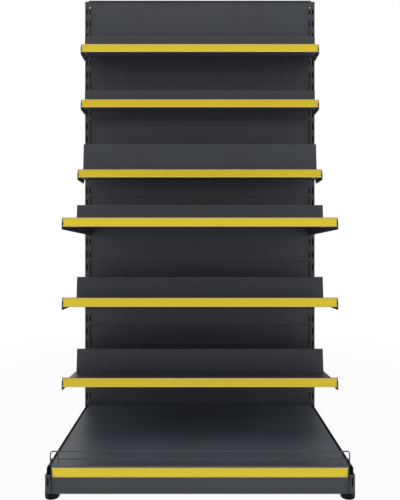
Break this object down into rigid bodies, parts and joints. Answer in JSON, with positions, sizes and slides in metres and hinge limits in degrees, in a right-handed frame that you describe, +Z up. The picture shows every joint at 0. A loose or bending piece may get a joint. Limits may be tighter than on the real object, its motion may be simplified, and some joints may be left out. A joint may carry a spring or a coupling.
{
  "type": "retail shelving unit",
  "caption": "Wall shelving unit of folded sheet steel: slotted uprights, hooked brackets, stepped shelves with price strips, back panels, base deck with wire guard, levelling feet.",
  "frame": {"origin": "on the floor, under the middle of the unit's bounding box", "axes": "+Z up, the open front towards -Y, +X to the right when seen from the front"},
  "size_m": [0.8998, 0.602, 1.6664],
  "materials": {
    "powder_coat": "semi-gloss anthracite powder coat on folded sheet steel",
    "yellow_plastic": "smooth yellow extruded plastic",
    "black_plastic": "fine matt black",
    "foot_plastic": "satin black moulding",
    "wire": "grey powder coat on wire",
    "zinc": "bright zinc plate"
  },
  "bodies": {
    "frame": {"upright_left": "powder_coat", "upright_right": "powder_coat", "upright_cap_left": "black_plastic", "upright_cap_right": "black_plastic", "back_panel_1": "powder_coat", "back_panel_2": "powder_coat", "back_panel_3": "powder_coat", "back_panel_4": "powder_coat", "cap_screws": "zinc", "top_rail": "powder_coat", "rear_tie_top": "powder_coat", "rear_tie_middle": "powder_coat", "rear_tie_bottom": "powder_coat", "tie_bolts": "zinc", "base_bracket_left": "powder_coat", "base_bracket_right": "powder_coat", "base_bolts": "zinc", "foot_nuts": "zinc"},
    "shelf_1_brackets": {"shelf_1_bracket_left": "powder_coat", "shelf_1_bracket_right": "powder_coat"},
    "shelf_1": {"shelf_tray_1": "powder_coat", "price_strip_1": "yellow_plastic"},
    "shelf_2_brackets": {"shelf_2_bracket_left": "powder_coat", "shelf_2_bracket_right": "powder_coat"},
    "shelf_2": {"shelf_tray_2": "powder_coat", "price_strip_2": "yellow_plastic"},
    "shelf_3_brackets": {"shelf_3_bracket_left": "powder_coat", "shelf_3_bracket_right": "powder_coat"},
    "shelf_3": {"shelf_tray_3": "powder_coat", "price_strip_3": "yellow_plastic"},
    "shelf_4_brackets": {"shelf_4_bracket_left": "powder_coat", "shelf_4_bracket_right": "powder_coat"},
    "shelf_4": {"shelf_tray_4": "powder_coat", "price_strip_4": "yellow_plastic"},
    "shelf_5_brackets": {"shelf_5_bracket_left": "powder_coat", "shelf_5_bracket_right": "powder_coat"},
    "shelf_5": {"shelf_tray_5": "powder_coat", "price_strip_5": "yellow_plastic"},
    "shelf_6_brackets": {"shelf_6_bracket_left": "powder_coat", "shelf_6_bracket_right": "powder_coat"},
    "shelf_6": {"shelf_tray_6": "powder_coat", "price_strip_6": "yellow_plastic"},
    "deck": {"base_deck": "powder_coat", "price_strip_base": "yellow_plastic"},
    "guard": {"wire_guard": "wire"},
    "plinth": {"base_plinth": "powder_coat"},
    "foot_front_left": {"foot_front_left": "foot_plastic"},
    "foot_front_right": {"foot_front_right": "foot_plastic"},
    "foot_rear_left": {"foot_rear_left": "foot_plastic"},
    "foot_rear_right": {"foot_rear_right": "foot_plastic"}
  },
  "joints": [
    {"name": "shelf_1_unhook", "type": "slide", "parent": "frame", "child": "shelf_1_brackets", "axis": [0, 0, 1], "range_m": [0, 0.012]},
    {"name": "shelf_1_lift", "type": "slide", "parent": "shelf_1_brackets", "child": "shelf_1", "axis": [0, 0, 1], "range_m": [0, 0.05]},
    {"name": "shelf_2_unhook", "type": "slide", "parent": "frame", "child": "shelf_2_brackets", "axis": [0, 0, 1], "range_m": [0, 0.012]},
    {"name": "shelf_2_lift", "type": "slide", "parent": "shelf_2_brackets", "child": "shelf_2", "axis": [0, 0, 1], "range_m": [0, 0.05]},
    {"name": "shelf_3_unhook", "type": "slide", "parent": "frame", "child": "shelf_3_brackets", "axis": [0, 0, 1], "range_m": [0, 0.012]},
    {"name": "shelf_3_lift", "type": "slide", "parent": "shelf_3_brackets", "child": "shelf_3", "axis": [0, 0, 1], "range_m": [0, 0.04]},
    {"name": "shelf_4_unhook", "type": "slide", "parent": "frame", "child": "shelf_4_brackets", "axis": [0, 0, 1], "range_m": [0, 0.012]},
    {"name": "shelf_4_lift", "type": "slide", "parent": "shelf_4_brackets", "child": "shelf_4", "axis": [0, 0, 1], "range_m": [0, 0.05]},
    {"name": "shelf_5_unhook", "type": "slide", "parent": "frame", "child": "shelf_5_brackets", "axis": [0, 0, 1], "range_m": [0, 0.012]},
    {"name": "shelf_5_lift", "type": "slide", "parent": "shelf_5_brackets", "child": "shelf_5", "axis": [0, 0, 1], "range_m": [0, 0.05]},
    {"name": "shelf_6_unhook", "type": "slide", "parent": "frame", "child": "shelf_6_brackets", "axis": [0, 0, 1], "range_m": [0, 0.012]},
    {"name": "shelf_6_lift", "type": "slide", "parent": "shelf_6_brackets", "child": "shelf_6", "axis": [0, 0, 1], "range_m": [0, 0.05]},
    {"name": "deck_lift", "type": "slide", "parent": "frame", "child": "deck", "axis": [0, 0, 1], "range_m": [0, 0.06]},
    {"name": "guard_lift", "type": "slide", "parent": "deck", "child": "guard", "axis": [0, 0, 1], "range_m": [0, 0.06]},
    {"name": "plinth_unclip", "type": "slide", "parent": "frame", "child": "plinth", "axis": [0, -1, 0], "range_m": [0, 0.015]},
    {"name": "foot_front_left_turn", "type": "hinge", "parent": "frame", "child": "foot_front_left", "pos_m": [-0.4284, -0.271, 0], "axis": [0, 0, 1], "continuous": true},
    {"name": "foot_front_right_turn", "type": "hinge", "parent": "frame", "child": "foot_front_right", "pos_m": [0.4284, -0.271, 0], "axis": [0, 0, 1], "continuous": true},
    {"name": "foot_rear_left_turn", "type": "hinge", "parent": "frame", "child": "foot_rear_left", "pos_m": [-0.4344, 0.271, 0], "axis": [0, 0, 1], "continuous": true},
    {"name": "foot_rear_right_turn", "type": "hinge", "parent": "frame", "child": "foot_rear_right", "pos_m": [0.4344, 0.271, 0], "axis": [0, 0, 1], "continuous": true}
  ]
}
